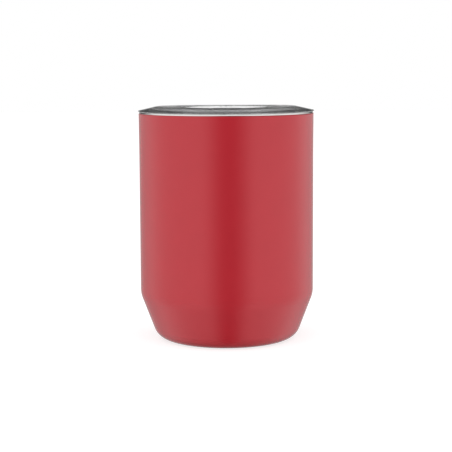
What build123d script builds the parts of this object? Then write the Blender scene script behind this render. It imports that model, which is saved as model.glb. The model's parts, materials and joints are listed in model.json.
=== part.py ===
from build123d import *

import math
import os

# A double-walled steel cup with a clear push-on lid, as separate pieces in millimetres.
# +Z is up, the origin is the centre of the standing ring, and -Y is the drinking side.
# The closure is turned open, with its hole over the sip hole, and the lid is pressed home.

# Cup, outside
BODY_DIAMETER = 83.7        # straight part of the wall
MOUTH_FLARE = 0.15          # the wall's gain in radius at its top edge
FLARE_HEIGHT = 20.0         # length of wall over which it flares
FLARE_ROUND = 400.0         # easing where the flare begins
SHELL_HEIGHT = 109.1        # standing plane to the top edge of the coated wall
SHOULDER_HEIGHT = 22.1      # where the wall's line meets the chamfer's line
CHAMFER_INSET = 8.4         # the chamfer's gain in radius from the standing plane to the shoulder
SHOULDER_ROUND = 12.0
BASE_ROUND = 8.0
FOOT_LAND = 2.0             # flat width of the standing ring
FOOT_EDGE_ROUND = 1.2       # where the standing ring turns up into the foot
FOOT_DEPTH = 3.0            # how far the foot is turned up

# Sheet and vacuum space
SHELL_WALL = 0.5
LINER_WALL = 0.5
VACUUM_GAP = 2.8
COAT_EDGE_ROUND = 0.3       # the shell's top edge, beside the lip

# Mouth
LIP_WIDTH = 2.0             # rolled lip, in radius
LIP_HEIGHT = 0.9            # bare steel above the coat
LIP_LEAN = 22.0             # degrees that the lip's outside leans in
LIP_ROUND = 0.3             # top of the lip
LIP_UNDER_ROUND = 0.15      # outside edge of the lip, beside the coat
SEAT_DEPTH = 12.0           # widened mouth that takes the lid's plug
SEAT_TAPER = 3.0            # height of the step from the mouth to the liner's wall
SEAT_ROUND = 2.0
FLOOR_ROUND = 6.0           # liner's wall to its floor

# Base
BASE_WALL = 0.5
SKIRT_DEPTH = 2.4           # skirt of the vacuum base inside the turned-up foot
SKIRT_ROUND = 1.0
DIMPLE_DIAMETER = 9.0
DIMPLE_DEPTH = 1.4
DIMPLE_FLOOR_DIAMETER = 4.0
EVACUATION_HOLE = 1.2
SEAL_CROWN = 0.2            # how far the glass stays below the dimple's edge
GETTER_DIAMETER = 8.0
GETTER_HEIGHT = 1.6
GETTER_WALL = 0.3
GETTER_RIM = 0.4            # the cup's wall above the pellet
GETTER_CLEARANCE = 0.05
GETTER_HEADROOM = 1.3       # from the getter's cup to the liner's floor
COVER_WALL = 0.4
COVER_RECESS = 0.8          # the cover's face above the standing plane
COVER_CLEARANCE = 0.05
COVER_ROUND = 0.8

# Lid
LID_OVERHANG = 0.2          # the rim stands this far out past the mouth
LID_EDGE = 0.4              # thickness of the rim's edge
RIM_ROUND = 0.15
LID_RISE = 2.45             # highest line of the top above the lip
ARCH_RADIUS = 900.0         # the top's slight arch from front to back
CROWN_WIDTH = 9.0           # rim to the shoulder, in radius, at the lid's sides
CROWN_ROUND = 4.0           # shoulder between the sloped crown and the top
LID_WALL = 1.8
HOLLOW_ROUND = 0.6          # corners of the hollow under the crown
PLUG_CLEARANCE = 0.5        # plug to the mouth
PLUG_WALL = 2.2
PLUG_DEPTH = 9.5            # plug below the lip
PLUG_ROUND = 0.6
GROOVE_DEPTH = 0.9
GROOVE_HEIGHT = 3.4
GROOVE_BELOW_LIP = 3.0      # lip to the top of the groove
GASKET_CLEARANCE = 0.05     # gasket to the sides of its groove
SEAL_CLEARANCE = 0.15       # gasket's ribs to the mouth
RIB_ROUND = 0.6             # radius of a gasket rib
RIB_COUNT = 2

# Round closure that turns in a pocket of the lid
CLOSURE_DIAMETER = 47.2
CLOSURE_HEIGHT = 2.0
CLOSURE_DROP = 0.55         # the closure's face below the top's highest line
CLOSURE_CLEARANCE = 0.15    # closure to the pocket's wall
CLOSURE_GAP = 0.1           # closure to the pocket's floor, and barb to the floor's underside
CLOSURE_TURN = 60.0         # degrees from open to shut
CLOSURE_ROUND = 0.15
POCKET_ROUND = 0.15
PIVOT_DIAMETER = 6.0
PIVOT_CLEARANCE = 0.1
BARB_WIDTH = 0.5            # snap barb beyond the pivot
BARB_HEIGHT = 1.2
STOP_RADIUS = 10.0          # lid's axis to the stop lug
STOP_DIAMETER = 2.4
STOP_HEIGHT = 0.8
STOP_CLEARANCE = 0.15       # lug to the sides and the top of its arc
SIP_WIDTH = 14.0
SIP_LENGTH = 6.5
SIP_INSET = 4.0             # closure's edge to the sip hole
SIP_ROUND = 0.4
VENT_DIAMETER = 2.4
GRIP_PLACE = 9.5            # lid's axis to the middle of the grip grooves
GRIP_LENGTH = 7.0           # along the radius, so that a thumb pushes across the grooves
GRIP_WIDTH = 0.6
GRIP_DEPTH = 0.4
GRIP_SPACING = 2.5
GRIP_COUNT = 3

NEAR = 0.01                 # tolerance for finding an edge by its place
LIMIT = 0.9                 # largest share of a wall that its edge rounds may take

# Places that follow from the sizes
body_radius = BODY_DIAMETER / 2
mouth_outer = body_radius + MOUTH_FLARE
base_corner = body_radius - CHAMFER_INSET
chamfer_angle = math.atan2(CHAMFER_INSET, SHOULDER_HEIGHT)
base_tangent = BASE_ROUND * math.tan((math.pi / 2 - chamfer_angle) / 2)
foot_radius = base_corner - base_tangent - FOOT_LAND - FOOT_EDGE_ROUND
lip_top = SHELL_HEIGHT + LIP_HEIGHT
mouth_radius = mouth_outer - LIP_WIDTH
liner_inset = SHELL_WALL + VACUUM_GAP + LINER_WALL
liner_radius = body_radius - liner_inset
getter_cup_height = GETTER_WALL + GETTER_HEIGHT + GETTER_RIM
liner_floor = FOOT_DEPTH + getter_cup_height + GETTER_HEADROOM + LINER_WALL

rim_radius = mouth_outer + LID_OVERHANG
rim_top = lip_top + LID_EDGE
top_height = lip_top + LID_RISE
shoulder_radius = rim_radius - CROWN_WIDTH
crown_slope = (top_height - rim_top) / CROWN_WIDTH
arch_drop = shoulder_radius**2 / (2 * ARCH_RADIUS)
plug_radius = mouth_radius - PLUG_CLEARANCE
plug_bottom = lip_top - PLUG_DEPTH
groove_radius = plug_radius - GROOVE_DEPTH
groove_top = lip_top - GROOVE_BELOW_LIP
closure_radius = CLOSURE_DIAMETER / 2
closure_top = top_height - CLOSURE_DROP
closure_bottom = closure_top - CLOSURE_HEIGHT
pocket_radius = closure_radius + CLOSURE_CLEARANCE
pocket_floor = closure_bottom - CLOSURE_GAP
pocket_under = pocket_floor - LID_WALL
pivot_radius = PIVOT_DIAMETER / 2
sip_place = closure_radius - SIP_INSET - SIP_LENGTH / 2


def directions(points):
    """Unit directions of the runs of an open outline."""
    runs = zip(points, points[1:])
    return [(Vector(*end) - Vector(*start)).normalized() for start, end in runs]


def parallel(points, distance):
    """An open outline moved sideways, to the right of its direction, with mitred corners."""
    rights = [Vector(run.Y, -run.X) for run in directions(points)]
    befores = [rights[0]] + rights
    afters = rights + [rights[-1]]
    moved = []
    for point, before, after in zip(points, befores, afters):
        step = (before + after) * (distance / (1 + before.dot(after)))
        moved.append((point[0] + step.X, point[1] + step.Y))
    return moved


def sheet(points, rounds, thickness):
    """Section of a pressed sheet: a rounded outline, thickened to the right of its direction.

    A negative thickness lies to the left. Each corner's two rounds share a centre.
    """
    runs = directions(points)
    far_rounds = []
    for before, after, radius in zip(runs, runs[1:], rounds):
        turns_left = before.cross(after).Z > 0
        far_rounds.append(max(radius + thickness if turns_left else radius - thickness, 0))
    near = FilletPolyline(*points, radius=rounds)
    far = FilletPolyline(*parallel(points, thickness), radius=far_rounds)
    return make_face([near, far, Line(near @ 0, far @ 0), Line(near @ 1, far @ 1)])


def rounded_at(section, radius, height, round_radius):
    """A section with its corner nearest to a place rounded."""
    corner = section.vertices().sort_by_distance((radius, height))[0]
    return fillet(corner, round_radius)


def turned(section):
    """A section drawn as radius and height, turned about the cup's axis."""
    return revolve(Plane.XZ * section, Axis.Z)


def upright_disc(diameter, bottom, height):
    """A cylinder on the cup's axis."""
    lowest = (Align.CENTER, Align.CENTER, Align.MIN)
    return Pos(0, 0, bottom) * Cylinder(diameter / 2, height, align=lowest)


# Outline of the coated wall, from the mouth down and in to the turned-up foot
shell_outline = [
    (mouth_outer, SHELL_HEIGHT),
    (body_radius, SHELL_HEIGHT - FLARE_HEIGHT),
    (body_radius, SHOULDER_HEIGHT),
    (base_corner, 0),
    (foot_radius, 0),
    (foot_radius, FOOT_DEPTH),
]
shell_rounds = [FLARE_ROUND, SHOULDER_ROUND, BASE_ROUND, FOOT_EDGE_ROUND]


def make_outer_shell():
    """Coated wall, with its top edge dressed level for the liner's lip."""
    shell = turned(sheet(shell_outline, shell_rounds, SHELL_WALL))
    shell = shell - upright_disc(2 * mouth_outer, SHELL_HEIGHT, SHELL_WALL)
    outer_edge = shell.edges().group_by(Axis.Z)[-1].sort_by(SortBy.LENGTH)[-1]
    return fillet(outer_edge, min(COAT_EDGE_ROUND, LIMIT * SHELL_WALL))


def make_inner_liner():
    """Bare steel cup, parallel to the shell, with a widened mouth and a rolled lip."""
    shoulder = parallel(shell_outline, liner_inset)[2]
    floor_radius = shoulder[0] - (shoulder[1] - liner_floor) * math.tan(chamfer_angle)
    outline = [
        (mouth_radius, SHELL_HEIGHT),
        (mouth_radius, lip_top - SEAT_DEPTH),
        (liner_radius, lip_top - SEAT_DEPTH - SEAT_TAPER),
        shoulder,
        (floor_radius, liner_floor),
        (0, liner_floor),
    ]
    rounds = [SEAT_ROUND, SEAT_ROUND, SHOULDER_ROUND - liner_inset, FLOOR_ROUND]
    wall = sheet(outline, rounds, -LINER_WALL)
    lip_edge = mouth_outer - LIP_HEIGHT * math.tan(math.radians(LIP_LEAN))
    lip = make_face(Polyline(
        (mouth_radius, SHELL_HEIGHT),
        (mouth_outer, SHELL_HEIGHT),
        (lip_edge, lip_top),
        (mouth_radius, lip_top),
        close=True,
    ))
    most = LIMIT * min(LIP_HEIGHT, lip_edge - mouth_radius) / 2
    lip = fillet(lip.vertices().group_by(Axis.Y)[-1], min(LIP_ROUND, most))
    lip = rounded_at(lip, mouth_outer, SHELL_HEIGHT, min(LIP_UNDER_ROUND, most))
    return turned(wall + lip)


def dimple_section(grow=0.0):
    """Outline of the evacuation dimple's hollow, as radius and height."""
    top = FOOT_DEPTH - BASE_WALL + DIMPLE_DEPTH
    return Polygon(
        (0, FOOT_DEPTH - BASE_WALL),
        (DIMPLE_DIAMETER / 2 + grow, FOOT_DEPTH - BASE_WALL),
        (DIMPLE_FLOOR_DIAMETER / 2 + grow, top + grow),
        (0, top + grow),
        align=None,
    )


def make_vacuum_base():
    """Disc with a skirt inside the turned-up foot and a pierced dimple in its middle."""
    outline = [
        (foot_radius, FOOT_DEPTH - SKIRT_DEPTH),
        (foot_radius, FOOT_DEPTH),
        (0, FOOT_DEPTH),
    ]
    disc = turned(sheet(outline, [SKIRT_ROUND], -BASE_WALL))
    disc = disc + turned(dimple_section(BASE_WALL))
    disc = disc - turned(dimple_section())
    return disc - upright_disc(EVACUATION_HOLE, 0, FOOT_DEPTH + DIMPLE_DEPTH + BASE_WALL)


def make_glass_seal():
    """Sealing glass that fills the dimple, short of its edge."""
    filled = turned(dimple_section())
    return filled - upright_disc(DIMPLE_DIAMETER, FOOT_DEPTH - BASE_WALL, SEAL_CROWN)


def getter_place():
    """Midway between the dimple and the skirt, on the disc's vacuum side."""
    return Pos((DIMPLE_DIAMETER / 2 + foot_radius) / 2, 0, FOOT_DEPTH)


def make_getter_cup():
    outside = GETTER_DIAMETER + 2 * (GETTER_WALL + GETTER_CLEARANCE)
    inside = GETTER_DIAMETER + 2 * GETTER_CLEARANCE
    cup = upright_disc(outside, 0, getter_cup_height)
    cup = cup - upright_disc(inside, GETTER_WALL, getter_cup_height)
    return getter_place() * cup


def make_getter():
    return getter_place() * upright_disc(GETTER_DIAMETER, GETTER_WALL, GETTER_HEIGHT)


def make_base_cover():
    """Shallow steel cap pressed inside the skirt, up to where the skirt bends."""
    radius = foot_radius - BASE_WALL - COVER_CLEARANCE
    outline = [
        (radius, FOOT_DEPTH - SKIRT_ROUND),
        (radius, COVER_RECESS),
        (0, COVER_RECESS),
    ]
    return turned(sheet(outline, [COVER_ROUND], COVER_WALL))


def lid_section():
    """Half section of the lid before its top is arched: rim, crown, pocket and plug."""
    inner = plug_radius - PLUG_WALL
    pocket_outer = pocket_radius + LID_WALL
    ceiling = top_height - LID_WALL - arch_drop / 2
    bend = rim_radius - (ceiling + LID_WALL - rim_top) / crown_slope
    ceiling_edge = ceiling - (inner - bend) * crown_slope
    peak = top_height + arch_drop
    section = make_face(Polyline(
        (pivot_radius + PIVOT_CLEARANCE, pocket_floor),
        (pocket_radius, pocket_floor),
        (pocket_radius, peak),
        (shoulder_radius - arch_drop / crown_slope, peak),
        (rim_radius, rim_top),
        (rim_radius, lip_top),
        (plug_radius, lip_top),
        (plug_radius, plug_bottom),
        (inner, plug_bottom),
        (inner, ceiling_edge),
        (bend, ceiling),
        (pocket_outer, ceiling),
        (pocket_outer, pocket_under),
        (pivot_radius + PIVOT_CLEARANCE, pocket_under),
        close=True,
    ))
    rim_round = min(RIM_ROUND, LIMIT * LID_EDGE / 2)
    section = rounded_at(section, rim_radius, lip_top, rim_round)
    section = rounded_at(section, rim_radius, rim_top, rim_round)
    section = rounded_at(section, plug_radius, plug_bottom, PLUG_ROUND)
    for corner in ((inner, ceiling_edge), (pocket_outer, ceiling), (pocket_outer, pocket_under)):
        section = rounded_at(section, *corner, HOLLOW_ROUND)
    groove = Pos(groove_radius, groove_top - GROOVE_HEIGHT) * Rectangle(
        GROOVE_DEPTH, GROOVE_HEIGHT, align=(Align.MIN, Align.MIN)
    )
    return section - groove


def on_top_edge(edge):
    """Whether an edge goes round the lid's top, at its shoulder or at the pocket."""
    place = edge @ 0.5
    return edge.geom_type != GeomType.LINE and place.Z > rim_top + NEAR


def distance_from_axis(edge):
    """Distance of an edge's middle from the lid's axis."""
    place = edge @ 0.5
    return math.hypot(place.X, place.Y)


def holes_through(top, depth):
    """The sip hole and the vent, cut down from a level."""
    level = Plane.XY.offset(top)
    sip = extrude(level * Pos(0, -sip_place) * SlotOverall(SIP_WIDTH, SIP_LENGTH), -depth)
    vent = extrude(level * Pos(0, sip_place) * Circle(VENT_DIAMETER / 2), -depth)
    return sip + vent


def sip_edges(piece, height):
    """A piece's edges round the sip hole at a given height."""
    low = Vector(-SIP_WIDTH / 2, -sip_place - SIP_LENGTH / 2, height)
    high = Vector(SIP_WIDTH / 2, -sip_place + SIP_LENGTH / 2, height)

    def around(edge):
        box = edge.bounding_box()
        above = all(a > b - NEAR for a, b in zip(box.min, low))
        return above and all(a < b + NEAR for a, b in zip(box.max, high))

    return piece.edges().filter_by(around)


def make_lid_body():
    """Clear moulded lid with an arched top, the closure's pocket and stop, the sip hole and the vent."""
    arch = Rot(0, 90, 0) * Cylinder(ARCH_RADIUS, 4 * rim_radius)
    lid = turned(lid_section()) & Pos(0, 0, top_height - ARCH_RADIUS) * arch
    middle = (pocket_radius + shoulder_radius) / 2
    shoulder = [edge for edge in lid.edges().filter_by(on_top_edge) if distance_from_axis(edge) > middle]
    lid = fillet(shoulder, CROWN_ROUND)
    pocket_edge = [edge for edge in lid.edges().filter_by(on_top_edge) if distance_from_axis(edge) < middle]
    lid = fillet(pocket_edge, POCKET_ROUND)
    lug = Pos(STOP_RADIUS, 0) * upright_disc(STOP_DIAMETER, pocket_floor, STOP_HEIGHT)
    lid = lid - holes_through(pocket_floor, LID_WALL) + lug
    return fillet(sip_edges(lid, pocket_under), min(SIP_ROUND, LIMIT * LID_WALL))


def make_lid_gasket():
    """Silicone ring with rounded ribs that reach for the mouth."""
    inner = groove_radius
    height = GROOVE_HEIGHT - 2 * GASKET_CLEARANCE
    bottom = groove_top - GROOVE_HEIGHT + GASKET_CLEARANCE
    corner = (Align.MIN, Align.MIN)
    section = Pos(inner, bottom) * Rectangle(plug_radius - inner, height, align=corner)
    rib_centre = mouth_radius - SEAL_CLEARANCE - RIB_ROUND
    for index in range(RIB_COUNT):
        rib_height = bottom + height * (index + 0.5) / RIB_COUNT
        section = section + Pos(rib_centre, rib_height) * Circle(RIB_ROUND)
    return turned(section)


def make_lid_closure():
    """Round closure with a snap pivot, holes that meet the lid's, grip grooves and the stop's arc."""
    barb_top = pocket_under - CLOSURE_GAP
    section = make_face(Polyline(
        (0, closure_top),
        (closure_radius, closure_top),
        (closure_radius, closure_bottom),
        (pivot_radius, closure_bottom),
        (pivot_radius, barb_top),
        (pivot_radius + BARB_WIDTH, barb_top),
        (pivot_radius - BARB_WIDTH, barb_top - BARB_HEIGHT),
        (0, barb_top - BARB_HEIGHT),
        close=True,
    ))
    section = rounded_at(section, closure_radius, closure_top, CLOSURE_ROUND)
    section = rounded_at(section, closure_radius, closure_bottom, CLOSURE_ROUND)
    closure = turned(section) - holes_through(closure_top, CLOSURE_HEIGHT)
    path = CenterArc((0, 0), STOP_RADIUS, -CLOSURE_TURN, CLOSURE_TURN)
    track = SlotArc(path, STOP_DIAMETER + 2 * STOP_CLEARANCE)
    track_depth = STOP_HEIGHT - CLOSURE_GAP + STOP_CLEARANCE
    closure = closure - extrude(Plane.XY.offset(closure_bottom) * track, track_depth)
    face = Plane.XY.offset(closure_top)
    for index in range(GRIP_COUNT):
        offset = (index - (GRIP_COUNT - 1) / 2) * GRIP_SPACING
        groove = face * Pos(offset, GRIP_PLACE) * SlotOverall(GRIP_LENGTH, GRIP_WIDTH, rotation=90)
        closure = closure - extrude(groove, -GRIP_DEPTH)
    return fillet(sip_edges(closure, closure_top), min(SIP_ROUND, LIMIT * CLOSURE_HEIGHT / 2))


pieces = {
    "outer_shell": make_outer_shell,
    "inner_liner": make_inner_liner,
    "vacuum_base": make_vacuum_base,
    "glass_seal": make_glass_seal,
    "getter_cup": make_getter_cup,
    "getter": make_getter,
    "base_cover": make_base_cover,
    "lid_body": make_lid_body,
    "lid_gasket": make_lid_gasket,
    "lid_closure": make_lid_closure,
}

os.makedirs("parts", exist_ok=True)
for name, make in pieces.items():
    export_step(make(), f"parts/{name}.step")
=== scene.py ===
import json
import math

import bpy
from mathutils import Euler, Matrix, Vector

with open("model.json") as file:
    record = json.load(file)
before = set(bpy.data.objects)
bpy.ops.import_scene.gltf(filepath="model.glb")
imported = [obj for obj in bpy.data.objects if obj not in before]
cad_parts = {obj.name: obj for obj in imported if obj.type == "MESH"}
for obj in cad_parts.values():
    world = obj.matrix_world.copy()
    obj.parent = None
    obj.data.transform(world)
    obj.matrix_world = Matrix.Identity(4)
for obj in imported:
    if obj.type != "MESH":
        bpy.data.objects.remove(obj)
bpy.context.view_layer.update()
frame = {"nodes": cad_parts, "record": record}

# Looks of a double-walled red cup with a bare steel lip and a clear push-on lid.
# Lengths are metres. The camera looks along +Y, and the standing ring is on the plane Z = 0.

# Camera, as found from the outline of the cup in the photograph
CAMERA_DISTANCE = 0.660
CAMERA_PITCH = 6.894            # degrees looking down
CAMERA_ROLL = 0.28              # degrees that the cup seems turned counter-clockwise
CAMERA_AIM = Vector((-0.0003, 0.0, 0.05432))
CAMERA_LENS = 108.29            # millimetres on the sensor below
CAMERA_SENSOR = 36.0
CAMERA_NEAR = 0.01              # nearest thing that it shows

# Softboxes: two, which light the coat from the front and don't show in reflections
SOFTBOX_ANGLE = 35.0            # degrees to either side of the camera, seen from the cup
SOFTBOX_DISTANCE = 0.30
SOFTBOX_WIDTH = 0.40
SOFTBOX_HEIGHT = 0.11
SOFTBOX_CENTRE = 0.062
SOFTBOX_POWER = 0.05            # watts

# Tent: white and far away, open behind the camera. It gives most of the light and all reflections.
# Its heights are on a unit sphere, where 0 is the horizon and 1 is straight up.
OPENING_CENTRE = 3.6            # degrees to the right of the camera
OPENING_HALF = 21.0             # half the angle of the opening
OPENING_SOFT = 17.0             # degrees that its edges fade to either side
OPENING_BRIGHTNESS = 0.0
SIDE_BRIGHTNESS = 1.28
BACK_START = 110.0              # degrees from the opening where the tent's side turns into its back
BACK_END = 150.0
TABLE_BRIGHTNESS = 0.6          # at the back, below the horizon
TABLE_START = -0.04             # heights where the table turns into the white backdrop
TABLE_END = -0.01
BACKDROP_BRIGHTNESS = 1.0
BACKDROP_START = 0.03           # heights where the backdrop ends
BACKDROP_END = 0.08
CEILING_START = 0.20            # heights where the tent's wall turns into its ceiling
CEILING_END = 0.50
CEILING_FRONT = 1.35            # brightness of the ceiling over the camera
CEILING_BACK = 0.05             # brightness of the ceiling at the back, and of the wall below it
FADE_START = 0.30               # places towards the back, on the unit sphere, where the ceiling fades
FADE_END = 0.70
SHADE_START = -0.65             # height below which the cup shades what it stands on
SHADE_LEFT = 0.35               # share of brightness left straight below the cup

# Floor
FLOOR_RADIUS = 3.0
FLOOR_SIDES = 96
FLOOR_ROUGHNESS = 0.9
FLOOR_BOUNCE = 0.9              # share of light that the floor sends back to the cup
FLOOR_SHADE = 0.35              # share of light that the camera sees, which sets the shadow's depth
FLOOR_GLOW = 0.75               # keeps the lit floor white, and leaves the shadow

# Most values of a noise lie between these two
NOISE_LOW = 0.3
NOISE_HIGH = 0.7


class Nodes:
    """Short calls that add nodes to a tree."""

    def __init__(self, tree):
        self.tree = tree

    def new(self, kind):
        return self.tree.nodes.new("ShaderNode" + kind)

    def feed(self, socket, value):
        """Links an output to a socket, or sets a constant on it."""
        if isinstance(value, bpy.types.NodeSocket):
            self.tree.links.new(value, socket)
        elif value is not None:
            socket.default_value = value

    def math(self, operation, first, second=None):
        node = self.new("Math")
        node.operation = operation
        self.feed(node.inputs[0], first)
        self.feed(node.inputs[1], second)
        return node.outputs["Value"]

    def vector_math(self, operation, first, second=None, scale=None):
        node = self.new("VectorMath")
        node.operation = operation
        self.feed(node.inputs[0], first)
        self.feed(node.inputs[1], second)
        if scale is not None:
            self.feed(node.inputs["Scale"], scale)
        return node.outputs["Value"] if operation == "LENGTH" else node.outputs["Vector"]

    def split(self, vector):
        node = self.new("SeparateXYZ")
        self.feed(node.inputs[0], vector)
        return node.outputs["X"], node.outputs["Y"], node.outputs["Z"]

    def join(self, x, y, z):
        node = self.new("CombineXYZ")
        for socket, value in zip(node.inputs, (x, y, z)):
            self.feed(socket, value)
        return node.outputs["Vector"]

    def mixed(self, first, second, share):
        """A sum of two values, with the given share of the first."""
        first_part = self.math("MULTIPLY", first, share)
        second_part = self.math("MULTIPLY", second, 1.0 - share)
        return self.math("ADD", first_part, second_part)

    def between(self, value, low, high, start=NOISE_LOW, end=NOISE_HIGH, smooth=False):
        """A number that goes from low to high as value goes from start to end."""
        node = self.new("MapRange")
        node.interpolation_type = "SMOOTHSTEP" if smooth else "LINEAR"
        self.feed(node.inputs["Value"], value)
        self.feed(node.inputs["From Min"], start)
        self.feed(node.inputs["From Max"], end)
        self.feed(node.inputs["To Min"], low)
        self.feed(node.inputs["To Max"], high)
        return node.outputs["Result"]


class Paint(Nodes):
    """A node material with one main shader."""

    def __init__(self, name):
        self.material = bpy.data.materials.new(name)
        self.material.use_nodes = True
        super().__init__(self.material.node_tree)
        self.tree.nodes.clear()
        self.shader = self.new("BsdfPrincipled")
        output = self.new("OutputMaterial")
        self.feed(output.inputs["Surface"], self.shader.outputs["BSDF"])
        self.place = self.new("TexCoord").outputs["Object"]

    def set(self, **values):
        """Sets or links the main shader's sockets, named with underscores for spaces."""
        for name, value in values.items():
            self.feed(self.shader.inputs[name.replace("_", " ")], value)

    def noise(self, size, detail=2.0, roughness=0.5, place=None):
        """Soft noise whose features are about the given size in metres."""
        node = self.new("TexNoise")
        self.feed(node.inputs["Vector"], place or self.place)
        self.feed(node.inputs["Scale"], 1.0 / size)
        self.feed(node.inputs["Detail"], detail)
        self.feed(node.inputs["Roughness"], roughness)
        return node.outputs["Fac"]

    def cells(self, size):
        """Rounded grains of about the given size in metres."""
        node = self.new("TexVoronoi")
        node.feature = "SMOOTH_F1"
        self.feed(node.inputs["Vector"], self.place)
        self.feed(node.inputs["Scale"], 1.0 / size)
        return node.outputs["Distance"]

    def shades(self, value, slot, low, high):
        """Shades of a slot's colour, from its low to its high share as a noise goes up."""
        colour = slot_colour(slot)
        return self.colours(value, [low * c for c in colour], [high * c for c in colour])

    def colours(self, value, first, second):
        """A colour that goes from the first to the second as a noise goes up."""
        node = self.new("ValToRGB")
        self.feed(node.inputs["Fac"], value)
        low, high = node.color_ramp.elements
        low.position = NOISE_LOW
        low.color = (*first, 1.0)
        high.position = NOISE_HIGH
        high.color = (*second, 1.0)
        return node.outputs["Color"]

    def bump(self, height, depth, normal=None, strength=1.0):
        """A normal from a height that goes from 0 to 1 over the given depth in metres."""
        node = self.new("Bump")
        self.feed(node.inputs["Height"], height)
        self.feed(node.inputs["Distance"], depth)
        self.feed(node.inputs["Strength"], strength)
        self.feed(node.inputs["Normal"], normal)
        return node.outputs["Normal"]

    def lathe_marks(self, line_size, run, detail=2.0, roughness=0.5):
        """Noise in lines round the axis, one line_size apart, that changes about run times along them."""
        x, y, z = self.split(self.place)
        flat = self.join(x, y, 0.0)
        radius = self.vector_math("LENGTH", flat)
        round_about = self.vector_math("SCALE", self.vector_math("NORMALIZE", flat), scale=run)
        across = self.math("DIVIDE", self.math("ADD", radius, z), line_size)
        place = self.vector_math("ADD", round_about, self.join(0.0, 0.0, across))
        return self.noise(1.0, detail, roughness, place)

    def height(self):
        return self.split(self.place)[2]


def slot_colour(name):
    """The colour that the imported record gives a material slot."""
    for entry in frame["record"]["materials"]:
        if entry["slot"] == name:
            return tuple(entry["base_color"][:3])
    raise KeyError(name)


# Powder coat: faint mottle, orange-peel waves and a fine grain under a satin skin
COAT_MOTTLE = 0.012             # sizes of the three
COAT_WAVES = 0.0011
COAT_GRAIN = 0.00022
COAT_WAVE_DEPTH = 0.000012
COAT_GRAIN_DEPTH = 0.000003
COAT_SHADES = (0.97, 1.03)      # shares of the slot's colour
COAT_ROUGHNESS = (0.21, 0.27)
COAT_SHEEN = 0.08               # metallic share
COAT_IOR = 1.5


def red_coat():
    paint = Paint("red_coat")
    mottle = paint.noise(COAT_MOTTLE, detail=3.0)
    grain = paint.noise(COAT_GRAIN, roughness=0.6)
    waves = paint.noise(COAT_WAVES)
    shade = paint.mixed(mottle, grain, share=0.6)
    normal = paint.bump(waves, COAT_WAVE_DEPTH)
    paint.set(
        Base_Color=paint.shades(shade, "red_coat", *COAT_SHADES),
        Roughness=paint.between(grain, *COAT_ROUGHNESS),
        Normal=paint.bump(grain, COAT_GRAIN_DEPTH, normal),
        Metallic=COAT_SHEEN,
        IOR=COAT_IOR,
    )
    return paint.material


# Liner: turned and brushed round the axis, with the lip polished
LINER_FINE_LINE = 0.00025       # spacing of the fine and the broad marks
LINER_BROAD_LINE = 0.0016
LINER_CLOUD = 0.018             # size of the cloudy patches
LINER_MARK_DEPTH = 0.000004
LINER_SHADES = (0.90, 1.08)     # shares of the slot's colour
LINER_ROUGHNESS = (0.24, 0.40)
LIP_START = 0.1084              # heights where the polish begins and is complete
LIP_END = 0.1090
LIP_ROUGHNESS = 0.14


def liner_steel():
    paint = Paint("liner_steel")
    fine = paint.lathe_marks(LINER_FINE_LINE, run=7.0, detail=3.0, roughness=0.7)
    broad = paint.lathe_marks(LINER_BROAD_LINE, run=4.0)
    cloud = paint.noise(LINER_CLOUD)
    marks = paint.mixed(fine, broad, share=0.7)
    brushed = paint.between(paint.mixed(marks, cloud, share=0.7), *LINER_ROUGHNESS)
    lip = paint.between(paint.height(), 0.0, 1.0, LIP_START, LIP_END)
    paint.set(
        Base_Color=paint.shades(marks, "liner_steel", *LINER_SHADES),
        Metallic=1.0,
        Roughness=paint.between(lip, brushed, LIP_ROUGHNESS, 0.0, 1.0),
        Normal=paint.bump(marks, LINER_MARK_DEPTH, strength=0.6),
    )
    return paint.material


# Pressed and spun sheet of the base pieces
BASE_LINE = 0.0004              # spacing of the spinning marks
BASE_CLOUD = 0.006              # sizes of the cloudy patches and of the specks
BASE_SPECK = 0.0003
BASE_LINE_DEPTH = 0.000005
BASE_SPECK_DEPTH = 0.000002
BASE_SHADES = (0.86, 1.06)      # shares of the slot's colour
BASE_ROUGHNESS = (0.30, 0.46)


def base_steel():
    paint = Paint("base_steel")
    rings = paint.lathe_marks(BASE_LINE, run=5.0, detail=3.0, roughness=0.6)
    cloud = paint.noise(BASE_CLOUD, detail=3.0)
    speck = paint.noise(BASE_SPECK, detail=1.0)
    shade = paint.mixed(rings, cloud, share=0.6)
    normal = paint.bump(rings, BASE_LINE_DEPTH, strength=0.7)
    paint.set(
        Base_Color=paint.shades(shade, "base_steel", *BASE_SHADES),
        Metallic=1.0,
        Roughness=paint.between(shade, *BASE_ROUGHNESS),
        Normal=paint.bump(speck, BASE_SPECK_DEPTH, normal),
    )
    return paint.material


# Fused sealing glass: smoky, with small bubbles near its skin
SEAL_STREAK = 0.0018            # sizes of the streaks and the bubbles
SEAL_BUBBLE = 0.0007
SEAL_BUBBLE_DEPTH = 0.00003
SEAL_SHADES = (0.75, 1.3)       # shares of the slot's colour
SEAL_ROUGHNESS = (0.05, 0.14)
SEAL_CLEAR = 0.4                # share of light that goes through
SEAL_IOR = 1.6


def seal_glass():
    paint = Paint("seal_glass")
    streak = paint.noise(SEAL_STREAK, detail=3.0)
    bubbles = paint.cells(SEAL_BUBBLE)
    paint.set(
        Base_Color=paint.shades(streak, "seal_glass", *SEAL_SHADES),
        Roughness=paint.between(streak, *SEAL_ROUGHNESS),
        Normal=paint.bump(bubbles, SEAL_BUBBLE_DEPTH, strength=0.4),
        Transmission_Weight=SEAL_CLEAR,
        IOR=SEAL_IOR,
    )
    return paint.material


# Getter pellet: pressed and sintered grains
GETTER_GRAIN = 0.00032          # sizes of the grains and the dust's patches
GETTER_DUST = 0.0014
GETTER_GRAIN_DEPTH = 0.00008
GETTER_SHADES = (0.7, 1.3)      # shares of the slot's colour
GETTER_ROUGHNESS = (0.58, 0.85)
GETTER_METAL = 0.6              # metallic share


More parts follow.
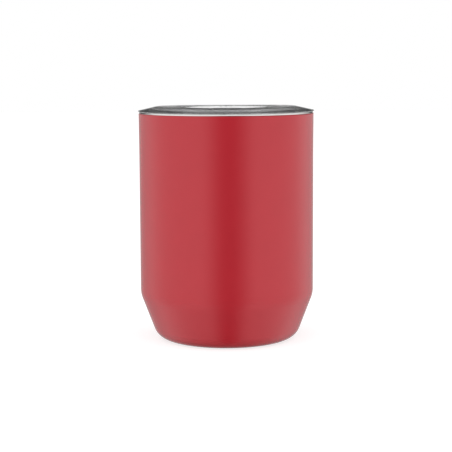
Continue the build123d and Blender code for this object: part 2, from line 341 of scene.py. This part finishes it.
def getter_metal():
    paint = Paint("getter_metal")
    grains = paint.cells(GETTER_GRAIN)
    dust = paint.noise(GETTER_DUST, detail=4.0, roughness=0.6)
    paint.set(
        Base_Color=paint.shades(dust, "getter_metal", *GETTER_SHADES),
        Metallic=GETTER_METAL,
        Roughness=paint.between(grains, *GETTER_ROUGHNESS, start=0.0),
        Normal=paint.bump(grains, GETTER_GRAIN_DEPTH, strength=0.8),
    )
    return paint.material


# Clear moulding with faint flow waves and a haze of fine scuffs
CLEAR_DARK = (0.90, 0.91, 0.92)
CLEAR_LIGHT = (0.95, 0.955, 0.96)
CLEAR_ROUGHNESS = (0.015, 0.06)
CLEAR_WAVE_DEPTH = 0.00002
CLEAR_IOR = 1.55


def clear_moulding(name, flow_size, haze_size):
    paint = Paint(name)
    flow = paint.noise(flow_size)
    haze = paint.noise(haze_size, detail=4.0, roughness=0.65)
    paint.set(
        Base_Color=paint.colours(flow, CLEAR_DARK, CLEAR_LIGHT),
        Normal=paint.bump(flow, CLEAR_WAVE_DEPTH, strength=0.5),
        Transmission_Weight=1.0,
        IOR=CLEAR_IOR,
    )
    return paint, haze


# Lid: satin and slightly milky on its crown and top, polished below the lip
LID_FLOW = 0.009                # sizes of the waves and the haze
LID_HAZE = 0.0016
LID_SEAT = 0.1100               # height of the lip that the lid rests on
CROWN_BLEND = 0.0003            # height over which the satin begins
CROWN_SATIN = 0.12              # roughness that the satin adds
CROWN_MILK = (0.064, 0.096)     # share of light that the crown scatters


def clear_plastic():
    paint, haze = clear_moulding("clear_plastic", LID_FLOW, LID_HAZE)
    polish = paint.between(haze, *CLEAR_ROUGHNESS)
    crown = paint.between(paint.height(), 0.0, 1.0, LID_SEAT, LID_SEAT + CROWN_BLEND)
    satin = paint.math("MULTIPLY", crown, CROWN_SATIN)
    milk = paint.math("MULTIPLY", crown, paint.between(haze, *CROWN_MILK))
    paint.set(
        Roughness=paint.math("ADD", polish, satin),
        Transmission_Weight=paint.math("SUBTRACT", 1.0, milk),
    )
    return paint.material


# Closure: polished and clear all over
CLOSURE_FLOW = 0.006            # sizes of the waves and the haze
CLOSURE_HAZE = 0.0011


def closure_plastic():
    paint, haze = clear_moulding("closure_plastic", CLOSURE_FLOW, CLOSURE_HAZE)
    paint.set(Roughness=paint.between(haze, *CLEAR_ROUGHNESS))
    return paint.material


# Silicone gasket: milky, with a dusty bloom
GASKET_BLOOM = 0.0025           # sizes of the bloom's patches and of the skin's grain
GASKET_SKIN = 0.0003
GASKET_SKIN_DEPTH = 0.000006
GASKET_SHADES = (0.93, 1.05)    # shares of the slot's colour
GASKET_ROUGHNESS = (0.42, 0.58)
GASKET_CLEAR = 0.35             # share of light that goes through
GASKET_IOR = 1.41


def silicone():
    paint = Paint("silicone")
    bloom = paint.noise(GASKET_BLOOM, detail=4.0, roughness=0.6)
    skin = paint.noise(GASKET_SKIN)
    paint.set(
        Base_Color=paint.shades(bloom, "silicone", *GASKET_SHADES),
        Roughness=paint.between(bloom, *GASKET_ROUGHNESS),
        Normal=paint.bump(skin, GASKET_SKIN_DEPTH, strength=0.6),
        Transmission_Weight=GASKET_CLEAR,
        IOR=GASKET_IOR,
    )
    return paint.material


# Each maker has the name of its material slot
makers = (
    red_coat, liner_steel, base_steel, seal_glass, getter_metal, clear_plastic, silicone, closure_plastic
)
finishes = {make.__name__: make() for make in makers}

for subpart in frame["record"]["subparts"]:
    piece = frame["nodes"][subpart["node"]]
    piece.data.materials.clear()
    piece.data.materials.append(finishes[subpart["material_slot"]])


def add_camera():
    pitch = math.radians(CAMERA_PITCH)
    away = Vector((0.0, -math.cos(pitch), math.sin(pitch)))
    data = bpy.data.cameras.new("camera")
    data.lens = CAMERA_LENS
    data.sensor_width = CAMERA_SENSOR
    data.clip_start = CAMERA_NEAR
    camera = bpy.data.objects.new("camera", data)
    camera.location = CAMERA_AIM + away * CAMERA_DISTANCE
    level = Euler((math.pi / 2 - pitch, 0.0, 0.0)).to_matrix()
    roll = Euler((0.0, 0.0, -math.radians(CAMERA_ROLL))).to_matrix()
    camera.rotation_euler = (level @ roll).to_euler()
    bpy.context.scene.collection.objects.link(camera)
    bpy.context.scene.camera = camera


def add_softbox(name, place, aim):
    data = bpy.data.lights.new(name, "AREA")
    data.shape = "RECTANGLE"
    data.size = SOFTBOX_WIDTH
    data.size_y = SOFTBOX_HEIGHT
    data.energy = SOFTBOX_POWER
    lamp = bpy.data.objects.new(name, data)
    lamp.location = place
    lamp.rotation_euler = (aim - place).to_track_quat("-Z", "Y").to_euler()
    lamp.visible_glossy = False
    bpy.context.scene.collection.objects.link(lamp)


def add_lights():
    angle = math.radians(SOFTBOX_ANGLE)
    aim = Vector((0.0, 0.0, CAMERA_AIM.z))
    for name, side in (("left_softbox", -1), ("right_softbox", 1)):
        across = side * math.sin(angle) * SOFTBOX_DISTANCE
        place = Vector((across, -math.cos(angle) * SOFTBOX_DISTANCE, SOFTBOX_CENTRE))
        add_softbox(name, place, aim)


# The tent goes on below the floor, because glossy rays pass through the floor
def add_room():
    world = bpy.data.worlds.new("room")
    world.use_nodes = True
    bpy.context.scene.world = world
    room = Nodes(world.node_tree)
    x, y, z = room.split(room.new("TexCoord").outputs["Generated"])
    heading = room.math("ARCTAN2", x, room.math("MULTIPLY", y, -1.0))
    angle = room.math("ABSOLUTE", room.math("SUBTRACT", heading, math.radians(OPENING_CENTRE)))
    edges = [math.radians(OPENING_HALF + side * OPENING_SOFT) for side in (-1, 1)]
    turns = [math.radians(turn) for turn in (BACK_START, BACK_END)]
    sides = room.between(angle, OPENING_BRIGHTNESS, SIDE_BRIGHTNESS, *edges, smooth=True)
    low = room.between(z, TABLE_BRIGHTNESS, BACKDROP_BRIGHTNESS, TABLE_START, TABLE_END, smooth=True)
    back = room.between(z, low, CEILING_BACK, BACKDROP_START, BACKDROP_END, smooth=True)
    wall = room.between(angle, sides, back, *turns, smooth=True)
    ceiling = room.between(y, CEILING_FRONT, CEILING_BACK, FADE_START, FADE_END, smooth=True)
    bright = room.between(z, wall, ceiling, CEILING_START, CEILING_END, smooth=True)
    shade = room.between(z, SHADE_LEFT, 1.0, -1.0, SHADE_START)
    strength = room.math("MULTIPLY", bright, shade)
    light_path = room.new("LightPath").outputs
    seen = room.math("MAXIMUM", light_path["Is Camera Ray"], light_path["Is Transmission Ray"])
    sky = world.node_tree.nodes["Background"]
    room.feed(sky.inputs["Color"], (1.0, 1.0, 1.0, 1.0))
    room.feed(sky.inputs["Strength"], room.between(seen, strength, 1.0, 0.0, 1.0))


def add_floor():
    bpy.ops.mesh.primitive_circle_add(vertices=FLOOR_SIDES, radius=FLOOR_RADIUS, fill_type="NGON")
    floor = bpy.context.object
    floor.name = "floor"
    paint = Paint("floor")
    seen = paint.new("LightPath").outputs["Is Camera Ray"]
    paint.set(
        Base_Color=paint.between(seen, FLOOR_BOUNCE, FLOOR_SHADE, 0.0, 1.0),
        Roughness=FLOOR_ROUGHNESS,
        Emission_Color=(1.0, 1.0, 1.0, 1.0),
        Emission_Strength=paint.math("MULTIPLY", seen, FLOOR_GLOW),
    )
    floor.data.materials.append(paint.material)
    floor.visible_glossy = False


add_camera()
add_lights()
add_room()
add_floor()

scene = bpy.context.scene
scene.view_settings.view_transform = "Standard"
